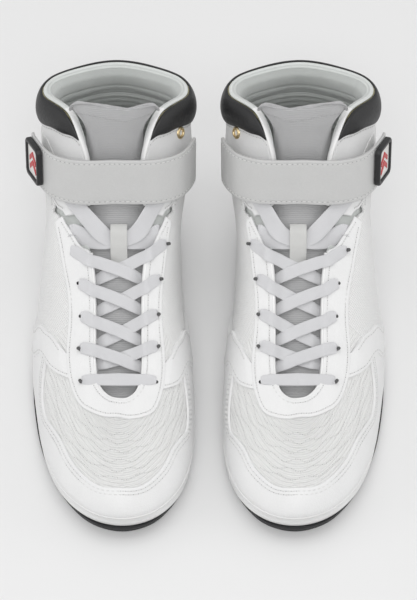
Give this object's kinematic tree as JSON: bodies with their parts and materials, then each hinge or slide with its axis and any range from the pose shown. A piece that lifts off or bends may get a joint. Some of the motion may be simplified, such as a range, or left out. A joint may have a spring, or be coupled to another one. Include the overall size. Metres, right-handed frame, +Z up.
{
  "type": "boxing boots",
  "caption": "Pair of white high boxing boots with laced throat, padded black collar and an ankle strap that fastens on the outer side.",
  "frame": {"origin": "floor level, under the middle of the pair's bounding box", "axes": "+Z up, +Y from the toes to the heels, +X from the right boot to the left boot"},
  "size_m": [0.2422, 0.2993, 0.187],
  "materials": {
    "black_rubber": "matt moulded rubber",
    "white_rubber": "satin moulded rubber",
    "board": "woven board",
    "textile": "brushed textile over foam",
    "stiffener": "thermoformed sheet",
    "lining_textile": "ribbed textile",
    "wave_mesh": "mesh with stitched waves",
    "dot_mesh": "perforated mesh",
    "white_leather": "fine grain, satin",
    "black_leather": "soft padded, satin",
    "foam": "open cell foam",
    "tongue_satin": "satin with fine ribs",
    "webbing": "woven webbing",
    "lace_cotton": "flat woven lace",
    "strap_leather": "folded edge, stitched",
    "hook_nylon": "hook tape",
    "loop_nylon": "loop tape",
    "badge_rubber": "moulded badge with a white and red inlay",
    "brass": "polished ring"
  },
  "bodies": {
    "right_boot": {"right_outsole": "black_rubber", "right_midsole": "white_rubber", "right_insole_board": "board", "right_insole": "textile", "right_toe_puff": "stiffener", "right_heel_counter": "stiffener", "right_lining": "lining_textile", "right_vamp": "wave_mesh", "right_toe_cap": "white_leather", "right_lateral_quarter": "dot_mesh", "right_medial_quarter": "dot_mesh", "right_side_stripes": "white_leather", "right_eyestay": "white_leather", "right_heel_foxing": "white_leather", "right_back_stay": "white_leather", "right_lateral_cuff": "white_leather", "right_medial_cuff": "white_leather", "right_collar_panel": "black_leather", "right_collar_foam": "foam", "right_lower_tongue": "tongue_satin", "right_lace_loop": "webbing", "right_lace": "lace_cotton", "right_strap_base": "strap_leather", "right_loop_patch": "loop_nylon", "right_eyelet_ring": "brass"},
    "right_strap_front": {"right_strap_front": "strap_leather"},
    "right_strap_tab": {"right_strap_tab": "strap_leather", "right_hook_patch": "hook_nylon", "right_badge": "badge_rubber"},
    "right_tongue": {"right_upper_tongue": "tongue_satin"},
    "left_boot": {"left_outsole": "black_rubber", "left_midsole": "white_rubber", "left_insole_board": "board", "left_insole": "textile", "left_toe_puff": "stiffener", "left_heel_counter": "stiffener", "left_lining": "lining_textile", "left_vamp": "wave_mesh", "left_toe_cap": "white_leather", "left_lateral_quarter": "dot_mesh", "left_medial_quarter": "dot_mesh", "left_side_stripes": "white_leather", "left_eyestay": "white_leather", "left_heel_foxing": "white_leather", "left_back_stay": "white_leather", "left_lateral_cuff": "white_leather", "left_medial_cuff": "white_leather", "left_collar_panel": "black_leather", "left_collar_foam": "foam", "left_lower_tongue": "tongue_satin", "left_lace_loop": "webbing", "left_lace": "lace_cotton", "left_strap_base": "strap_leather", "left_loop_patch": "loop_nylon", "left_eyelet_ring": "brass"},
    "left_strap_front": {"left_strap_front": "strap_leather"},
    "left_strap_tab": {"left_strap_tab": "strap_leather", "left_hook_patch": "hook_nylon", "left_badge": "badge_rubber"},
    "left_tongue": {"left_upper_tongue": "tongue_satin"}
  },
  "joints": [
    {"name": "pair_gap", "type": "slide", "parent": "right_boot", "child": "left_boot", "axis": [1, 0, 0], "range_m": [0, 0.2]},
    {"name": "right_strap_peel", "type": "hinge", "parent": "right_boot", "child": "right_strap_front", "pos_m": [-0.0186, 0.03362, 0.12404], "axis": [0, 0.4067, 0.9135], "range_deg": [0, 70]},
    {"name": "right_strap_open", "type": "hinge", "parent": "right_strap_front", "child": "right_strap_tab", "pos_m": [-0.1012, 0.03262, 0.12449], "axis": [0, 0.4067, 0.9135], "range_deg": [0, 100]},
    {"name": "right_tongue_tilt", "type": "hinge", "parent": "right_boot", "child": "right_tongue", "pos_m": [-0.061, 0.0215, 0.1165], "axis": [-1, 0, 0], "range_deg": [0, 12], "stiffness_Nm_per_rad": 0.5},
    {"name": "left_strap_peel", "type": "hinge", "parent": "left_boot", "child": "left_strap_front", "pos_m": [0.0186, 0.03362, 0.12404], "axis": [0, -0.4067, -0.9135], "range_deg": [0, 70]},
    {"name": "left_strap_open", "type": "hinge", "parent": "left_strap_front", "child": "left_strap_tab", "pos_m": [0.1012, 0.03262, 0.12449], "axis": [0, -0.4067, -0.9135], "range_deg": [0, 100]},
    {"name": "left_tongue_tilt", "type": "hinge", "parent": "left_boot", "child": "left_tongue", "pos_m": [0.061, 0.0215, 0.1165], "axis": [-1, 0, 0], "range_deg": [0, 12], "stiffness_Nm_per_rad": 0.5}
  ]
}
